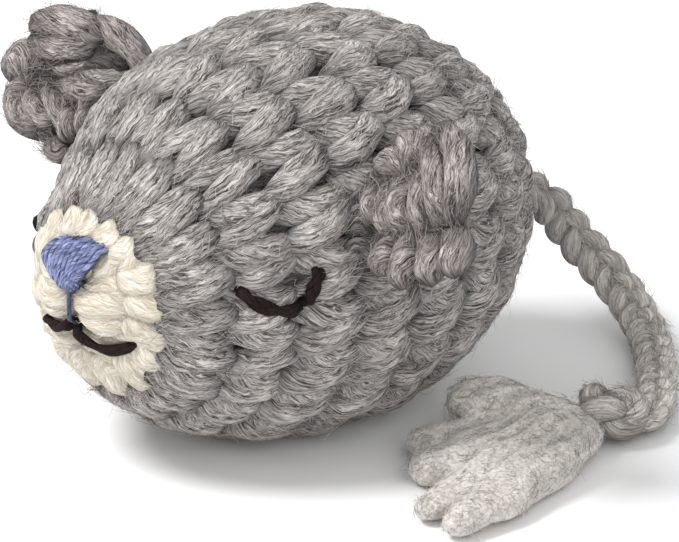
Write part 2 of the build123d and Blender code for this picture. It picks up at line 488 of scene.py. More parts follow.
grey = wool("grey_heather_wool", (38, 29, 27), (126, 117, 113), (214, 208, 204))
cream_look = dict(patch=0.12, streak=0.6, hairs=0.25)
cream = wool("cream_wool", (178, 165, 143), (216, 208, 194), (236, 230, 219), **cream_look)
ear_wool = wool("grey_brown_wool", (32, 24, 23), (116, 106, 103), (200, 191, 187), patch=0.25)
tail_look = dict(patch=0.2, streak=0.7, hairs=0.35)
tail_wool = wool("tail_wool", (134, 124, 118), (214, 206, 199), (246, 241, 235), **tail_look)
filling = wool("fibre_filling", (200, 200, 198), (226, 226, 224), (242, 242, 240), patch=0.05, hairs=0.2)
thread_look = dict(patch=0.2, bump=0.8, hairs=0.3, sheen=0.0)
brown = wool("dark_brown_thread", (7, 3, 3), (20, 10, 10), (46, 30, 28), **thread_look)
floss_look = dict(patch=0.1, across_mm=4.5, sheen=0.1, rough=0.4, hairs=0.5)
blue = wool("blue_floss", (24, 30, 78), (66, 78, 140), (170, 180, 222), **floss_look)
tassel_wool = felt_wool()
stray_grey = stray("stray_grey_fibre", rgb(70, 62, 58), rgb(226, 222, 218))
stray_cream = stray("stray_cream_fibre", rgb(206, 196, 176), rgb(250, 247, 240))
stray_pale = stray("stray_pale_fibre", rgb(176, 170, 164), rgb(246, 244, 240))
stray_brown = stray("stray_brown_fibre", rgb(48, 38, 36), rgb(190, 180, 176))

# The face's threads are laid out in front and side views and drop onto the body's form


def half_length(points):
    """The form's half length at points from its middle: the nose end and the rear differ."""
    return np.where(points[..., 1] < 0, NOSE_Y, REAR_Y)


def form_normal(points):
    rel = points - np.array([0, 0, AXIS_Z])
    return form_outward(rel, half_length(rel))


def onto_form(points):
    """Moves points along the line to the body's middle until they lie on its form."""
    rel = points - np.array([0, 0, AXIS_Z])
    size = (rel[..., 0] ** 2 + rel[..., 2] ** 2) / BODY_R**2 + (rel[..., 1] / half_length(rel)) ** 2
    return rel / np.sqrt(size)[..., None] + np.array([0, 0, AXIS_Z])


def front_view(points):
    """Points (x, height over the axis) on the nose end, dropped onto the body's form."""
    x, z = np.asarray(points, float).T
    y = -NOSE_Y * np.sqrt(np.maximum(0, 1 - (x**2 + z**2) / BODY_R**2))
    return np.stack([x, y, AXIS_Z + z], -1)


EYE = np.array([27.6, -27.4, 1.0])  # the left eye's middle, its height over the axis
EYE_LID = [(-8.6, 3.4), (-5.6, 0.6), (-1.6, -1.3), (3.4, -2.0)]
EYE_LASH = [(3.6, -1.6), (4.6, 1.4), (6.2, 5.0)]
EYE_CORNER = [(3.2, -1.7), (3.9, -1.2)]
MOUTH_LEFT = [(-0.9, -4.6), (1.6, -6.8), (6.2, -7.9), (11.6, -6.0)]
MOUTH_RIGHT = [(-0.8, -5.0), (-3.4, -6.2), (-6.4, -6.8), (-9.4, -6.4)]
PHILTRUM = [(-0.2, 1.6), (-0.3, -1.6), (-0.6, -5.0)]
FAR_CHEEK = [(-23.0, 3.0), (-19.0, 14.0)]


def eye_view(points, side):
    """Points (towards the rear, up) round the middle of an eye, dropped onto the body's form."""
    middle = EYE + np.array([0, 0, AXIS_Z])
    normal = form_normal(middle[None])[0]
    back = unit(np.array([-normal[1], normal[0], 0]))
    rise = np.cross(normal, back)
    flat = middle + np.asarray(points, float) @ np.stack([back, rise])
    return onto_form(flat) * np.array([side, 1, 1])


# Where the wool is drawn in: a line, how deep and how far about it
GROOVES = [(front_view(MOUTH_LEFT), 1.3, 1.7), (front_view(MOUTH_RIGHT), 1.2, 1.6)]
for side in (1, -1):
    GROOVES.append((eye_view(EYE_LID, side), 1.7, 2.0))
    GROOVES.append((eye_view(EYE_LASH, side), 1.2, 1.7))
    GROOVES.append((eye_view(EYE_CORNER, side), 3.0, 2.2))
GROOVES.append((front_view(FAR_CHEEK), 2.4, 11.0))
GROOVES = [(spline(points, 14), depth, reach) for points, depth, reach in GROOVES]


def body_press(points):
    """The threads of the face pull the wool in, and the floor flattens the belly."""
    shape = points.shape
    flat = points.reshape(-1, 3)
    normal = form_normal(flat)
    pull = np.zeros(len(flat))
    for line, depth, reach in GROOVES:
        low, high = line.min(0) - 3 * reach, line.max(0) + 3 * reach
        inside = np.flatnonzero(((flat > low) & (flat < high)).all(1))
        gap = np.linalg.norm(flat[inside, None] - line, axis=-1).min(1)
        pull[inside] = np.maximum(pull[inside], depth * np.exp(-((gap / reach) ** 2)))
    return settle((flat - normal * pull[:, None]).reshape(shape))


# Crocheted body: rounds of stitches. Each stitch is two plump legs that rise from one hole and dive
# into the next round's holes.

# The rounds' edges, as arc lengths from the nose's pole, and the stitches in each
ROUND_ENDS = [0, 10.4, 17, 27.6, 39.2, 50.8, 62.2, 73.2, 84.2, 95, 105.2, 114.6, BODY_ARC - 1.5]
STITCHES = [6, 12, 20, 21, 21, 21, 21, 21, 20, 17, 12, 7]
ROUND_LEAN = 4.0  # degrees that a round turns on from the last
LEG_ROWS = 26
FULL_STITCH = 9.8  # legs of narrower stitches are thinner too
REAR_ROUNDS, REAR_CROWNS = (2, 11), (0.2, 1.6)  # the wool stands prouder towards the rear
# How far back a round's front edge moves: all round, under the chin, at the lower right
EDGE_SHIFTS = {2: (0.7, 2.3, 4.4), 3: (0.3, 1.0, 2.0)}
LOWER_RIGHT = -138
# dark: a lighter painted shade at the cream stitches' ends than at the grey ones
CREAM_ROUND = dict(crown=-0.5, sink=1.6, splay=0.35, blunt=0.3, dark=0.35, full=1.2, reach=-2.2)
FIRST_GREY = 2  # the index of the first grey round
FIRST_GREY_ROUND = dict(crown=-0.1, lead=1.4, blunt=0.22, sink=1.5, full=1.1)


def holes(index):
    """The angles of a round's holes, on the edge nearer the nose."""
    count = STITCHES[index]
    rng = np.random.default_rng(500 + index)
    jitter = rng.uniform(-0.10, 0.10, count)
    return (np.arange(count) + jitter) * 360 / count + index * ROUND_LEAN + 3.0 * index % 7


def round_edge(index, phi):
    """Arc length of a round's front edge."""
    lift, droop, right = EDGE_SHIFTS.get(index, (0.0, 0.0, 0.0))
    low_right = max(0.0, math.cos(math.radians(phi - LOWER_RIGHT))) ** 2
    return ROUND_ENDS[index] + lift - droop * math.cos(math.radians(phi)) + right * low_right


def crochet_round(
    yarn, index, crown=0.0, sink=2.7, splay=0.58, blunt=0.5, dark=0.05, full=1.0, reach=0.0, lead=0.0
):
    """One round of stitches. Two legs lean together at their hole and apart, by `splay`, at the next,
    and dive in at both ends by `sink`. A small `blunt` rounds the ends and `dark` is the painted shade
    there.
    `crown` raises the round, which begins `lead` before its front edge and ends `reach` past its
    back edge."""
    rng = yarn.rng
    crown = crown + float(np.interp(index, REAR_ROUNDS, REAR_CROWNS))
    here = holes(index)
    pitch = 360 / len(here)
    middle_pitch = girth((ROUND_ENDS[index] + ROUND_ENDS[index + 1]) / 2) / len(here)
    size = min(1.0, middle_pitch / FULL_STITCH)
    t = np.linspace(-0.06, 1.06, LEG_ROWS)
    arch = np.sin(math.pi * np.clip((t + 0.08) / 1.16, 0, 1))
    ease = t * t * (3 - 2 * t)
    # painted shade where the legs dive into their holes
    shade = dark + (1 - dark) * arch**0.6
    for phi in here:
        start = round_edge(index, phi) - lead
        end = round_edge(index + 1, phi) + reach
        for side, proud, fat in ((-1, 0.25, 1.08), (1, -0.3, 1.0)):
            near = side * 0.25 * pitch * (1 - splay)
            far = side * 0.25 * pitch * (1 + splay) - 0.26 * pitch + ROUND_LEAN * 0.5
            wander = rng.normal(0, 0.035 * pitch)
            s = start + (end - start) * t + rng.normal(0, 0.3)
            bow = side * rng.uniform(0.02, 0.09) * pitch * arch
            angle = phi + near + (far - near) * (0.5 * t + 0.5 * ease) + bow + wander
            tall = (1.7 + 1.2 * arch**0.7) * (0.6 + 0.4 * size) * rng.uniform(0.92, 1.08)
            wide = full * middle_pitch * (0.19 + 0.13 * fat * arch**blunt) * rng.uniform(0.92, 1.1)
            level = crown + proud - sink * (1 - arch ** (blunt + 0.05)) + rng.normal(0, 0.18)
            path, normal = on_body(s, angle, level - tall)
            twist = rng.uniform(0.1, 0.3)
            yarn.add(path, normal, wide, tall, twist=twist, shade=shade, press=body_press)


def grey_rounds(name, seed, indices, *nodes):
    yarn = Yarn(seed)
    for index in indices:
        crochet_round(yarn, index, **(FIRST_GREY_ROUND if index == FIRST_GREY else {}))
    fit(yarn.build(name, grey), "body", "grey_wool", *nodes)
    return yarn


LINING_ROWS, LINING_SIDES = 48, 96
# painted shade: the linings are darkened, for they show only in the depths between stitches
LINING_SHADE = 0.3


def lining(name, s_from, s_to, depth, material, slot):
    """A closed form under the stitches that fills the depths between them."""
    places = np.linspace(s_from, s_to, LINING_ROWS), np.arange(LINING_SIDES) * 360 / LINING_SIDES
    grid_s, grid_phi = np.meshgrid(*places, indexing="ij")
    ripple = 0.25 * np.sin(grid_phi * 0.35 + grid_s) * np.cos(grid_s * 0.9)
    verts = body_press(on_body(grid_s, grid_phi, ripple - depth)[0]).reshape(-1, 3)
    quads, caps = tube(LINING_ROWS, LINING_SIDES)
    fibre = np.stack([grid_phi * 0.5, grid_s, 0 * grid_s], -1).reshape(-1, 3)
    shade = np.full(len(verts), LINING_SHADE)
    return fit(write_mesh(name, verts, quads, caps, fibre, shade, material), "body", slot)


# The muzzle's middle: strands (x, height over the axis) seen from the front, their half width and
# how far they stand over the form
MUZZLE_STRANDS = [
    ([(-6.4, 4.6), (-5.6, 7.6), (-5.2, 11.0)], 2.4, -0.3),
    ([(-2.6, 3.4), (-2.2, 7.4), (-1.6, 11.6)], 2.6, -0.3),
    ([(1.4, 3.6), (2.2, 7.4), (3.2, 11.4)], 2.6, -0.3),
    ([(3.8, 3.6), (6.0, 6.4), (7.8, 9.6)], 2.4, 0.0),
    ([(10.6, 3.8), (6.6, 3.6), (2.4, 2.2)], 2.2, 0.1),
    ([(10.8, 1.6), (5.8, -0.4), (-0.4, -0.8)], 2.9, 0.7),
    ([(10.8, -2.2), (6.2, -3.6), (0.6, -3.4)], 2.3, 0.5),
    ([(-11.6, 3.6), (-7.4, 2.2), (-3.0, 1.6)], 2.4, 0.1),
    ([(-11.8, 0.0), (-6.8, -1.6), (-1.4, -1.4)], 2.7, 0.5),
    ([(-11.4, -3.4), (-6.6, -4.4), (-2.0, -3.8)], 2.2, 0.3),
    ([(11.6, -5.0), (6.0, -9.0), (-0.6, -8.6)], 2.7, 0.2),
    ([(-11.4, -6.6), (-6.2, -9.4), (-0.8, -9.0)], 2.5, 0.1),
    ([(10.4, -9.0), (3.8, -12.6), (-3.6, -12.4)], 2.5, 0.1),
]
MUZZLE_LUMPS = 17
LUMP_START = 9.0


def muzzle_strand(yarn, points, wide, proud):
    """A plump strand that arches out of the wool along a line on the body's form."""
    line = onto_form(spline(points, 28))
    t = np.linspace(0, 1, len(line))
    arch = np.sin(math.pi * (0.05 + 0.9 * t))
    normal = form_normal(line)
    tall = 1.1 + 1.5 * arch**0.6
    half = wide * (0.5 + 0.5 * arch**0.55)
    line = line + normal * (proud - 2.4 * (1 - arch**0.6) - tall)[:, None]
    shade = 0.4 + 0.6 * arch**0.6
    twist = yarn.rng.uniform(0.1, 0.3)
    yarn.add(line, normal, half, tall, twist=twist, shade=shade, press=body_press)


def muzzle_lump(yarn, phi):
    """A plump end of the last cream round, which lies over the first grey one."""
    t = np.linspace(0, 1, 24)
    round_off = np.sqrt(np.clip(1 - np.abs(2 * t - 1) ** 2.7, 0.004, 1))
    outer = round_edge(FIRST_GREY, phi) + yarn.rng.uniform(-0.1, 0.9)
    angle = phi + yarn.rng.uniform(-3.5, 3.5) + 7.0 * (t - 0.5)
    wide = 3.3 * yarn.rng.uniform(0.88, 1.12) * round_off * (0.75 + 0.25 * t)
    tall = 2.2 * round_off**0.6
    level = 0.15 + yarn.rng.uniform(-0.25, 0.3) - 1.5 * (1 - round_off)
    path, normal = on_body(LUMP_START + (outer - LUMP_START) * t, angle, level - tall)
    yarn.add(path, normal, wide, tall, twist=0.2, shade=0.4 + 0.6 * round_off, press=body_press)


muzzle = Yarn(11)
crochet_round(muzzle, 1, **CREAM_ROUND)
for phi in np.arange(0, 360, 360 / MUZZLE_LUMPS):
    muzzle_lump(muzzle, phi)
for points, wide, proud in MUZZLE_STRANDS:
    muzzle_strand(muzzle, front_view(points), wide, proud)
fit(muzzle.build("muzzle_crochet", cream), "body", "cream_wool", "muzzle_cap")

front = grey_rounds("body_crochet_front", 12, (2, 3, 4), "body_shell")
middle = grey_rounds("body_crochet_middle", 13, (5, 6, 7))
rear = grey_rounds("body_crochet_rear", 14, (8, 9, 10))
grey_rounds("rear_closing_round", 15, (11,), "rear_gather")
body_lining = lining("body_lining", 14.0, BODY_ARC - 2, 3.6, grey, "grey_wool")
lining("muzzle_lining", 0.4, 18.0, 3.2, cream, "cream_wool")

BODY_FIBRES = 7500  # lying fibres on each third of the body
LYING = dict(length=(1.4, 4.2), lift=0.08, radius=0.034, press=body_press)
STRAY = dict(length=(0.8, 2.6), lift=0.35, radius=0.022, press=body_press)
MUZZLE_FIBRES = dict(length=(1.0, 3.0), lift=0.2, radius=0.03, press=body_press)
for part, yarn, seed in (("front", front, 31), ("middle", middle, 33), ("rear", rear, 35)):
    for kind, number, look in (("lying", BODY_FIBRES, LYING), ("stray", BODY_FIBRES // 3, STRAY)):
        hairs = fuzz(f"body_{kind}_fibres_{part}", yarn, number, stray_grey, seed=seed, **look)
        fit(hairs, "body", "grey_wool")
        seed += 1
muzzle_fuzz = fuzz("muzzle_fuzz", muzzle, 1800, stray_cream, seed=37, **MUZZLE_FIBRES)
fit(muzzle_fuzz, "body", "cream_wool")
frame["nodes"]["stuffing"].data.materials.clear()
frame["nodes"]["stuffing"].data.materials.append(filling)

# The embroidered face


def thread(yarn, points, half_width, plies, proud, sink=2.6, dive=0.16, turns=2.2, shade=1.0):
    """An embroidered stitch: twisted plies of thread that dive into the wool at both ends."""
    line = spline(points, 34)
    t = np.linspace(0, 1, len(line))
    ends = np.minimum(1, np.minimum(t, 1 - t) / dive)
    ends = ends * ends * (3 - 2 * ends)
    normal = form_normal(line)
    line = line + normal * (proud - sink * (1 - ends))[:, None]
    side = unit(np.cross(np.gradient(line, axis=0), normal))
    offset = half_width * (0.42 if plies > 1 else 0.0)
    wide = half_width * (0.62 if plies > 1 else 1.0)
    for ply in range(plies):
        angle = 2 * math.pi * (turns * t + ply / plies)
        sideways = side * (offset * np.cos(angle))[:, None]
        path = line + sideways + normal * (0.6 * offset * np.sin(angle))[:, None]
        yarn.add(path, normal, wide, wide * 0.85, ridge=0.35, twist=0.8, shade=shade, bulge=0.03)


def embroidery(name, node, seed, material, slot, stitches, sides=14):
    yarn = Yarn(seed, sides=sides)
    for points, settings in stitches:
        thread(yarn, points, **settings)
    fit(yarn.build(name, material), "body", slot, node)


MOUTH = dict(half_width=1.0, plies=2, proud=-0.2, turns=0.8)
EYE_THREAD = dict(half_width=1.2, plies=2, proud=-0.55, dive=0.2, turns=1.2)
for word, points, seed in (("left", MOUTH_LEFT, 41), ("right", MOUTH_RIGHT, 42)):
    mouth = [(front_view(points), MOUTH)]
    embroidery(f"mouth_stitch_{word}", f"mouth_{word}", seed, brown, "brown_thread", mouth)
for word, side, seed in (("left", 1, 43), ("right", -1, 46)):
    for part, points, step in (("lid", EYE_LID, 0), ("lash", EYE_LASH, 1)):
        node = f"{word}_eye_{part}"
        stitch = [(eye_view(points, side), EYE_THREAD)]
        embroidery(f"{node}_stitch", node, seed + step, brown, "brown_thread", stitch)

# painted shade darkens the philtrum's floss, and the line beside it most
FLOSS = dict(half_width=0.24, plies=1, proud=0.15, sink=1.2, dive=0.2, shade=0.45)
beside = [(x + 0.5, z) for x, z in PHILTRUM]
lip = [(front_view(PHILTRUM), FLOSS), (front_view(beside), dict(FLOSS, shade=0.25))]
embroidery("philtrum_stitch", "philtrum", 50, blue, "blue_floss", lip)

# Satin stitch on the nose: two layers of floss that fan out from its tip
NOSE_STRANDS = 13
NOSE_TIP = (-0.4, 1.2)
NOSE_CORNER = (-3.8, 7.6)  # the upper corner on the mouse's right
NOSE_WIDTH = 9.6
TIP_WIDTH = 4.2
nose_rng = np.random.default_rng(51)


def nose_stitch(f, layer):
    """One strand, at the fraction f of the way across."""
    crown = math.sin(math.pi * (0.06 + 0.86 * f)) ** 0.7
    top_x = NOSE_CORNER[0] + NOSE_WIDTH * f
    top_z = NOSE_CORNER[1] + 0.7 * f + 2.0 * crown + nose_rng.uniform(-0.3, 0.3)
    tip_x = NOSE_TIP[0] + TIP_WIDTH * (f - 0.5)
    tip_z = NOSE_TIP[1] + nose_rng.uniform(-0.25, 0.25) + 1.6 * (2 * f - 1) ** 2
    bow = 3.4 * (f - 0.92)
    half_way = ((top_x + tip_x) / 2 + bow, (top_z + tip_z) / 2)
    height = 0.75 + 0.45 * layer + nose_rng.uniform(-0.1, 0.1)
    # painted shade: the lower layer is darker, so the gaps between the upper strands look deep
    style = dict(half_width=0.43, plies=1, proud=height, sink=1.5, dive=0.14, shade=0.3 + 0.7 * layer)
    return front_view([(top_x, top_z), half_way, (tip_x, tip_z)]), style


nose_stitches = [
    nose_stitch(f, layer)
    for layer in (0, 1)
    for f in np.linspace(0.04 * layer, 1, NOSE_STRANDS - layer)
]
embroidery("nose_satin_stitch", "nose", 52, blue, "blue_floss", nose_stitches, sides=16)

# Ears: each is a ring of plump stitches round a small hole, darker than the body. Strands lie on
# the ear's disc: x away from the body, y along the sewn edge.

SEAM_TO_CENTRE = 10.0
EAR_HALF_THICK = 3.2
# One stitch over the sewn edge: along it, forward and away from the body
WHIP_STITCH = ((-0.9, 1.7, -1.5), (-0.3, 1.5, 0.5), (0.3, -1.5, 0.5), (0.9, -1.7, -1.5))
# How far the photograph's ears sit from the CAD's
EAR_SHIFT = {"left": (0.0, -2.4, -1.0), "right": (-1.6, -0.6, -1.4)}
EAR_FRONT_LEFT = [
    # points, half width, height over the disc
    ([(0.7, 5.0), (-1.4, 8.4), (-3.4, 11.2)], 2.7, 0.3),
    ([(0.9, 5.4), (1.2, 8.6), (0.6, 11.8)], 2.4, -0.2),
    ([(0.4, 5.2), (-4.6, 6.6), (-9.6, 7.6)], 2.6, 0.1),
    ([(2.2, 9.4), (4.4, 4.6), (5.7, -0.4), (7.4, -6.0)], 2.1, 0.4),
    ([(3.4, 11.4), (8.0, 7.4), (9.9, 1.0), (8.6, -5.8)], 2.5, 0.2),
    ([(0.9, 4.6), (1.5, 1.0), (1.9, -2.6), (3.2, -6.2)], 2.1, -0.2),
    ([(-0.6, 4.4), (-2.6, 0.6), (-2.7, -2.6), (0.6, -6.2)], 2.3, 0.3),
    ([(-4.4, 4.2), (-6.3, 0.6), (-5.9, -2.6), (-2.6, -5.8)], 2.2, -0.3),
    ([(-9.6, 4.6), (-10.3, 1.2), (-8.9, -3.2)], 2.1, -0.6),
    ([(2.6, -6.8), (0.0, -9.4), (-4.0, -12.6)], 2.8, 0.4),
    ([(-1.6, -6.4), (-5.2, -8.2), (-8.6, -9.8)], 2.5, 0.1),
    ([(5.0, -6.6), (4.6, -10.0), (2.2, -13.4)], 2.7, 0.3),
    ([(8.3, -6.0), (9.4, -9.0), (7.2, -13.0)], 2.6, 0.3),
]
EAR_FRONT_RIGHT = [
    ([(5.0, 3.6), (9.6, 4.2), (11.2, 7.4)], 2.7, 0.1),
    ([(5.2, 3.0), (9.4, 2.4), (12.0, 4.4)], 2.6, -0.2),
    ([(11.6, -1.8), (7.6, -5.4), (2.6, -7.8), (-2.0, -7.4)], 2.9, 0.6),
    ([(9.2, 0.6), (5.6, -1.2), (1.8, -4.4), (-1.8, -6.2)], 2.3, 0.2),
    ([(3.0, -8.6), (-2.4, -10.4), (-7.0, -10.4), (-11.0, -8.6)], 2.5, 0.3),
    ([(5.0, 0.8), (1.6, 0.0), (-1.0, -2.4), (-3.4, -5.6)], 1.2, -0.9),
    ([(-1.4, -0.6), (-5.6, -3.2), (-10.0, -7.0)], 2.1, -0.2),
    ([(-0.4, 2.4), (-4.4, -0.2), (-8.8, -3.0)], 2.4, 0.4),
    ([(4.4, 4.2), (6.0, 8.4), (2.8, 10.8), (-2.2, 10.2)], 2.2, 0.3),
    ([(3.6, 4.8), (2.6, 7.2), (-0.6, 7.8), (-4.4, 7.4)], 2.1, -0.2),
    ([(3.0, 3.4), (0.6, 4.4), (-3.2, 5.4), (-6.8, 7.0)], 2.0, -0.4),
    ([(-4.2, 2.8), (-5.6, 5.2), (-7.4, 7.8)], 1.9, 0.0),
    ([(-4.0, 10.4), (-6.6, 10.2), (-8.6, 9.4)], 2.2, -0.3),
    ([(-6.6, 0.4), (-7.6, 2.6), (-9.0, 5.2)], 1.9, -0.1),
]


def back_spoke(angle):
    """A strand from the middle of an ear's back to its rim."""
    half_way = (5.6 * math.cos(angle), 5.6 * math.sin(angle))
    rim = (11.0 * math.cos(angle + 0.2), 11.0 * math.sin(angle + 0.2))
    return [(0.0, 0.0), half_way, rim], 2.9, 0.0


EAR_BACK = [back_spoke(angle) for angle in np.radians(np.arange(-100, 125, 28))]
EAR_BACK += [([(1.0, 0.0), (-3.6, y * 0.6), (-8.2, y)], 2.7, -0.1) for y in (-7.4, -2.6, 2.6, 7.4)]


def ear_frame(word):
    """An ear's middle and its three directions: away from the body, along the sewn edge and forward."""
    low, high = node_box(f"{word}_ear")
    hinge, axis = joint(f"{word}_ear_bend")
    gap = (low + high) / 2 - hinge
    outward = unit(gap - axis * (gap @ axis))
    along = -axis
    middle = hinge + SEAM_TO_CENTRE * outward + np.array(EAR_SHIFT[word])
    return middle, outward, along, np.cross(outward, along)


def ear_strand(yarn, axes, points, wide, proud, face):
    """A plump strand on an ear's front (face 1) or back (-1)."""
    middle, outward, along, forward = axes
    line = spline([(x, y, 0) for x, y in points], 26)
    t = np.linspace(0, 1, len(line))
    arch = np.sin(math.pi * (0.06 + 0.88 * t))
    reach = np.hypot(line[:, 0], line[:, 1])
    tall = 0.9 + 1.75 * arch**0.6
    half = wide * (0.42 + 0.58 * arch**0.55)
    rim = np.clip((reach - 9.0) / 4.0, 0, 1)
    top = EAR_HALF_THICK + proud - 1.7 * (1 - arch**0.6) - 1.6 * rim
    path = middle + outward * line[:, :1] + along * line[:, 1:2] + forward * face * (top - tall)[:, None]
    # painted shade where the strands dive into the ear
    shade = 0.04 + 0.96 * arch**1.1
    twist = yarn.rng.uniform(0.1, 0.4)
    yarn.add(path, forward * face, half, tall, ridge=1.1, twist=twist, shade=shade, fold=0.8)


for word, strands, seed in (("left", EAR_FRONT_LEFT, 61), ("right", EAR_FRONT_RIGHT, 62)):
    axes = ear_frame(word)
    yarn = Yarn(seed)
    for points, wide, proud in strands:
        ear_strand(yarn, axes, points, wide, proud, 1)
    for points, wide, proud in EAR_BACK:
        ear_strand(yarn, axes, points, wide, proud, -1)
    ear = yarn.build(f"{word}_ear_crochet", ear_wool)
    fit(ear, f"{word}_ear_flap", "ear_wool", f"{word}_ear")
    hairs = fuzz(f"{word}_ear_fuzz", yarn, 2600, stray_brown, length=(1.2, 3.6), seed=seed + 10)
    fit(hairs, f"{word}_ear_flap", "ear_wool")
    # whip stitches that sew the ear down
    middle, outward, along, forward = axes
    seam = Yarn(seed + 20, sides=20)
    foot = middle - outward * (SEAM_TO_CENTRE + 2.0)
    for y in np.linspace(-5.6, 5.6, 5):
        points = [
            foot + along * (y + aside) + forward * ahead + outward * out
            for aside, ahead, out in WHIP_STITCH
        ]
        seam.add(spline(points, 20), outward, 1.1, 0.7, ridge=0.5, shade=0.5)
    sewing = seam.build(f"{word}_ear_sewing", ear_wool)
    fit(sewing, "body", "ear_wool", f"{word}_ear_seam")

# Tail: three strands braided along the cord's own spline, whose route and length are in metres

TAIL_ROUTE = [
    (0.0006, 0.0476, 0.0276),
    (0.0010, 0.0570, 0.0236),
    (0.0040, 0.0625, 0.0145),
    (0.0125, 0.0645, 0.0076),
    (0.0230, 0.0605, 0.0033),
    (0.0335, 0.0515, 0.0033),
    (0.0435, 0.0410, 0.0033),
    (0.0500, 0.0330, 0.0033),
    (0.0465, 0.0280, 0.0042),
]
BRAID_PITCH = 14.0
BRAID_SWING = 1.78
BRAID_RISE = 0.72
BRAID_FACES = np.array([0.42, -0.42, 0.80])  # the way its flat side looks


def route_line(route, count):
    """The NURBS spline over a route, as a line in millimetres, and its length."""
    curve = bpy.data.curves.new("tail_route", "CURVE")
    curve.dimensions = "3D"
    line = curve.splines.new("NURBS")
    line.points.add(len(route) - 1)
    for point, place in zip(line.points, route):
        point.co = (*place, 1)
    line.order_u = 3
    line.use_endpoint_u = True
    line.resolution_u = 24
    holder = bpy.data.objects.new("tail_route", curve)
    mesh = bpy.data.meshes.new_from_object(holder)
    points = np.array([v.co for v in mesh.vertices]) / MM
    bpy.data.meshes.remove(mesh)
    bpy.data.objects.remove(holder)
    bpy.data.curves.remove(curve)
    return evenly(points, count), distances(points)[-1]


tail_line, tail_span = route_line(TAIL_ROUTE, 240)
tail_tangent = unit(np.gradient(tail_line, axis=0))
tail_side = unit(np.cross(tail_tangent, BRAID_FACES))
tail_up = np.cross(tail_side, tail_tangent)
u = np.linspace(0, 1, len(tail_line)) * tail_span
slim = np.interp(u / tail_span, [0, 0.25, 0.7, 1], [1.10, 1.10, 0.97, 0.92])
braid = Yarn(71, sides=20)
for strand in range(3):
    turn = 2 * math.pi * (u / BRAID_PITCH + strand / 3)
    across = BRAID_SWING * slim * np.sin(turn)
    height = BRAID_RISE * slim * np.sin(2 * turn)
    path = tail_line + tail_side * across[:, None] + tail_up * height[:, None]
    outer = np.abs(np.sin(turn))
    fat = slim * (1.36 + 0.36 * outer**2)
    # painted shade: darker towards the root and where the strands cross in the braid's middle
    shade = np.interp(u, [0, 18, 40, tail_span], [0.5, 0.65, 0.9, 1.0]) * (0.6 + 0.4 * outer)
    braid.add(path, tail_up, fat, fat * 0.92, ridge=0.7, twist=0.45, shade=shade, bulge=0.03, press=settle)
TAIL_FIBRES = dict(length=(1.0, 3.0), radius=0.035, press=settle)
tail_braid = fit(braid.build("tail_braid", tail_wool), "tail", "tail_wool", "tail_cord")
tail_fuzz = fuzz("tail_fuzz", braid, 2600, stray_grey, seed=72, **TAIL_FIBRES)
fit(tail_fuzz, "tail", "tail_wool")

# The ball of yarn that the tail turns on, in the body's last round

BALL_WRAPS = 7
BALL_STRAND = 0.85
root_low, root_high = node_box("tail_root")
root_middle = (root_low + root_high) / 2
root_radius = (root_high[0] - root_low[0]) / 2
ball = Yarn(73, sides=16)
for wrap in range(BALL_WRAPS):
    lean = math.pi * wrap / BALL_WRAPS
    a = np.linspace(-0.1, math.pi + 0.1, 24)
    out = np.array([math.cos(lean), 0, math.sin(lean)])
    for sign in (-1, 1):
        arc = root_middle + (root_radius - BALL_STRAND) * (
            np.cos(a)[:, None] * np.array([0, -1.0, 0]) + sign * np.sin(a)[:, None] * out
        )
        ball.add(arc, arc - root_middle, 0.95, 0.8, ridge=0.5, shade=0.5)
fit(ball.build("tail_root_yarn", tail_wool), "tail_pivot", "tail_wool", "tail_root")

# Knot: the cord's end tied over itself

KNOT_SHIFT = np.array([-0.1, 0.6, 0.5])
KNOT_SIZE = (1.55, 1.35, 1.7)  # along the tail, across it and up
knot_pivot = joint("tassel_swing")[0]
knot_middle = knot_pivot + KNOT_SHIFT
a = np.linspace(0, 2 * math.pi, 110, endpoint=False)
lie = unit(tail_tangent[-1] * np.array([1, 1, 0]))
cross = np.array([-lie[1], lie[0], 0])
trefoil = np.stack([np.sin(a) + 2 * np.sin(2 * a), np.cos(a) - 2 * np.cos(2 * a), -np.sin(3 * a)], -1)
loop = (
    knot_middle
    + np.outer(trefoil[:, 0] * KNOT_SIZE[0], lie)
    + np.outer(trefoil[:, 1] * KNOT_SIZE[1], cross)
    + np.outer(trefoil[:, 2] * KNOT_SIZE[2], [0, 0, 1])
)
loop = np.vstack([loop, loop[:3]])
knot = Yarn(74, sides=24)
knot.add(loop, np.array([0.1, 0.1, 1.0]), 2.3, 2.1, ridge=1.0, twist=0.5, shade=0.8, press=settle)
knot_yarn = fit(knot.build("tail_knot_yarn", tail_wool), "tail", "tail_wool", "tail_knot")
knot_fuzz = fuzz("tail_knot_fuzz", knot, 900, stray_brown, seed=75, **TAIL_FIBRES)
fit(knot_fuzz, "tail", "tail_wool")

# Tassel: locks of teased, lightly felted wool that fan out from the knot

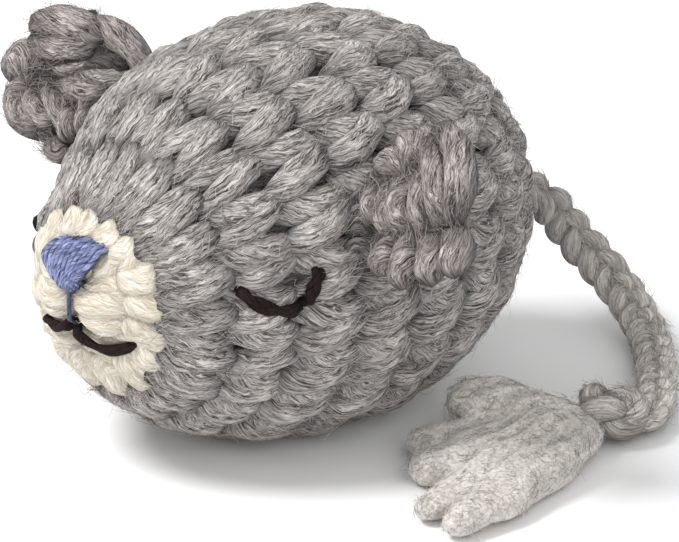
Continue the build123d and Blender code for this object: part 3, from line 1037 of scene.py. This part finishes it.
# Each lock's points: x, y, height of the middle, half width and half height
TASSEL_LOCKS = [
    [(46.0, 21.5, 4.2, 2.6, 2.8), (41.6, 17.0, 5.6, 4.4, 3.8), (35.0, 13.0, 7.2, 5.2, 3.8),
     (27.4, 10.0, 7.4, 4.6, 3.0)],
    [(46.0, 21.5, 3.6, 2.6, 2.4), (40.6, 13.0, 3.8, 5.2, 3.4), (34.0, 4.6, 3.0, 4.8, 2.9),
     (29.2, -2.4, 2.4, 3.0, 2.1)],
    [(46.4, 21.5, 3.6, 2.6, 2.4), (43.0, 11.0, 3.8, 5.2, 3.6), (40.4, 0.2, 3.0, 5.2, 2.9),
     (37.6, -9.6, 2.4, 3.8, 2.1)],
    [(46.6, 21.0, 3.6, 2.6, 2.4), (47.0, 9.0, 3.8, 5.2, 3.8), (48.0, -5.0, 2.8, 4.2, 2.7),
     (50.2, -20.4, 2.2, 2.3, 1.9)],
    [(47.4, 21.0, 3.6, 2.6, 2.4), (51.6, 9.0, 3.8, 4.8, 3.6), (55.0, -5.0, 3.1, 4.6, 2.9),
     (58.2, -21.6, 2.4, 3.2, 2.1)],
    [(46.4, 22.0, 4.0, 2.8, 2.6), (46.0, 15.0, 4.4, 6.6, 4.4), (45.0, 4.0, 3.4, 9.6, 3.2),
     (45.4, -7.0, 2.4, 6.4, 2.3)],
    [(43.6, 16.0, 4.0, 4.0, 3.0), (38.0, 8.0, 3.6, 6.0, 3.2), (32.6, 2.4, 2.8, 5.0, 2.4)],
    [(48.0, 14.0, 4.0, 4.0, 3.0), (52.0, 0.0, 3.2, 6.0, 3.2), (53.6, -13.5, 2.3, 4.2, 2.1)],
]
LOCK_ROWS = 40
VOXEL = 0.55
SMOOTHINGS = 6
RIPPLE_WAVES = 9


def along_lock(values):
    """Values spread evenly along a lock, which ends bluntly."""
    t = np.linspace(0, 1, LOCK_ROWS)
    blunt = np.sqrt(np.clip(1 - (np.clip(t - 0.90, 0, 1) / 0.105) ** 2, 0.02, 1))
    return np.interp(t, np.linspace(0, 1, len(values)), values) * blunt


felt = Yarn(80, sides=24)
for lock in map(np.array, TASSEL_LOCKS):
    line = spline(lock[:, :3], LOCK_ROWS)
    wide, tall = along_lock(lock[:, 3]), along_lock(lock[:, 4])
    felt.add(line, np.array([0, 0, 1.0]), wide, tall, ridge=0.0, bulge=0.06)


def fused(yarn):
    """The strands' union as one even skin."""
    rough = yarn.build("tassel_rough", tassel_wool)
    remesh = rough.modifiers.new("union", "REMESH")
    remesh.mode = "VOXEL"
    remesh.voxel_size = VOXEL * MM
    relax = rough.modifiers.new("relax", "SMOOTH")
    relax.iterations = SMOOTHINGS
    relax.factor = 0.5
    mesh = bpy.data.meshes.new_from_object(rough.evaluated_get(bpy.context.evaluated_depsgraph_get()))
    bpy.data.objects.remove(rough)
    return mesh


def read(mesh, key):
    values = np.empty(len(mesh.vertices) * 3, np.float32)
    mesh.vertices.foreach_get(key, values)
    return values.reshape(-1, 3).astype(float)


def ripple(points, scale, seed):
    """A smooth wandering field of about -1 to 1 from a few waves."""
    rng = np.random.default_rng(seed)
    total = np.zeros(len(points))
    for _ in range(RIPPLE_WAVES):
        total += np.sin(points @ (rng.normal(0, 1, 3) / scale) + rng.uniform(0, 6.3))
    return total / math.sqrt(RIPPLE_WAVES)


skin = fused(felt)
points, normals = read(skin, "co") / MM, read(skin, "normal")
from_knot = unit((points - knot_pivot) * np.array([1, 1, 0.0]))
spread = np.degrees(np.arctan2(from_knot[:, 1], from_knot[:, 0]))
reach = np.linalg.norm((points - knot_pivot)[:, :2], axis=1)
furrow = np.sin(spread * 0.55 + 1.2 * ripple(points, 6.0, 81)) * np.clip((reach - 6) / 10, 0, 1)
waviness = 0.10 * ripple(points, 1.6, 82) + 0.22 * ripple(points, 3.5, 83) + 0.30 * furrow
points = settle(points + normals * waviness[:, None])
skin.vertices.foreach_set("co", (points * MM).astype(np.float32).ravel())
skin.polygons.foreach_set("use_smooth", np.ones(len(skin.polygons), bool))
skin.materials.clear()
skin.materials.append(tassel_wool)
tassel = bpy.data.objects.new("tassel_wool_locks", skin)
bpy.context.scene.collection.objects.link(tassel)
skin.update()

hair_rng = np.random.default_rng(84)
upward = np.flatnonzero(normals[:, 2] > -0.5)
for label, number, material, span, thick, seed in (
    ("tassel_pale_fibres", 4200, stray_pale, (0.9, 2.6), 0.03, 85),
    ("tassel_dark_fibres", 2400, stray_brown, (0.9, 3.0), 0.032, 86),
):
    pick = hair_rng.choice(upward, number)
    outward = from_knot[pick] + hair_rng.normal(0, 0.45, (number, 3))
    tangent = unit(outward - normals[pick] * (outward * normals[pick]).sum(1)[:, None])
    ground = points[pick], normals[pick], tangent
    hairs = loose_fibres(label, *ground, material, span, thick, 0.05, seed, settle, curl=0.25)
    fit(hairs, "tassel", "tassel_wool")
locks = [f"tassel_lock_{number}" for number in range(1, 7)]
fit(tassel, "tassel", "tassel_wool", "tassel_head", *locks)

# Floor, lights (placed in metres) and camera

CAMERA_AZIMUTH = 45.0
CAMERA_ELEVATION = 21.0
CAMERA_DISTANCE = 1500.0
VIEW_WIDTH = 109.3
AIM_RIGHT = 8.3
AIM_DOWN = 8.0
SENSOR_WIDTH = 36.0
SKY_STRENGTH = 0.66


def softbox(name, place, size, power):
    """A round light that faces the mouse."""
    lamp = bpy.data.lights.new(name, "AREA")
    lamp.shape = "DISK"
    lamp.size = size
    lamp.energy = power
    obj = bpy.data.objects.new(name, lamp)
    bpy.context.scene.collection.objects.link(obj)
    obj.location = place
    obj.rotation_euler = (Vector((0, 0, 0.03)) - Vector(place)).to_track_quat("-Z", "Y").to_euler()


def studio():
    scene = bpy.context.scene
    plane = Nodes("pale_floor")
    speck = plane.new("ShaderNodeTexNoise", {"Scale": 40.0, "Detail": 3.0})
    tone = plane.mix(speck.outputs["Fac"], (0.88, 0.88, 0.88, 1), (0.92, 0.92, 0.92, 1))
    bpy.ops.mesh.primitive_plane_add(size=6, location=(0, 0, 0))
    floor = bpy.context.object
    floor.name = "floor"
    floor.data.materials.append(plane.surface({"Base Color": tone, "Roughness": 0.9}))

    world = bpy.data.worlds.new("studio")
    world.use_nodes = True
    sky = world.node_tree.nodes["Background"]
    sky.inputs[0].default_value = (1.0, 1.0, 1.0, 1)
    sky.inputs[1].default_value = SKY_STRENGTH
    scene.world = world
    softbox("key", (-0.25, -0.45, 0.75), 0.35, 7.8)
    softbox("fill", (0.6, -0.35, 0.35), 0.5, 2.0)

    az, el = math.radians(CAMERA_AZIMUTH), math.radians(CAMERA_ELEVATION)
    right = Vector((math.cos(az), math.sin(az), 0))
    up = Vector((-math.sin(az) * math.sin(el), math.cos(az) * math.sin(el), math.cos(el)))
    back = right.cross(up)
    aim = Vector((0, 0, AXIS_Z * MM)) + right * (AIM_RIGHT * MM) - up * (AIM_DOWN * MM)
    data = bpy.data.cameras.new("camera")
    data.sensor_width = SENSOR_WIDTH
    data.lens = SENSOR_WIDTH * CAMERA_DISTANCE / VIEW_WIDTH
    data.clip_start = 0.05
    camera = bpy.data.objects.new("camera", data)
    scene.collection.objects.link(camera)
    turned = Matrix((right, up, back)).transposed().to_4x4()
    camera.matrix_world = Matrix.Translation(aim + back * (CAMERA_DISTANCE * MM)) @ turned
    scene.camera = camera
    scene.view_settings.view_transform = "Standard"


studio()
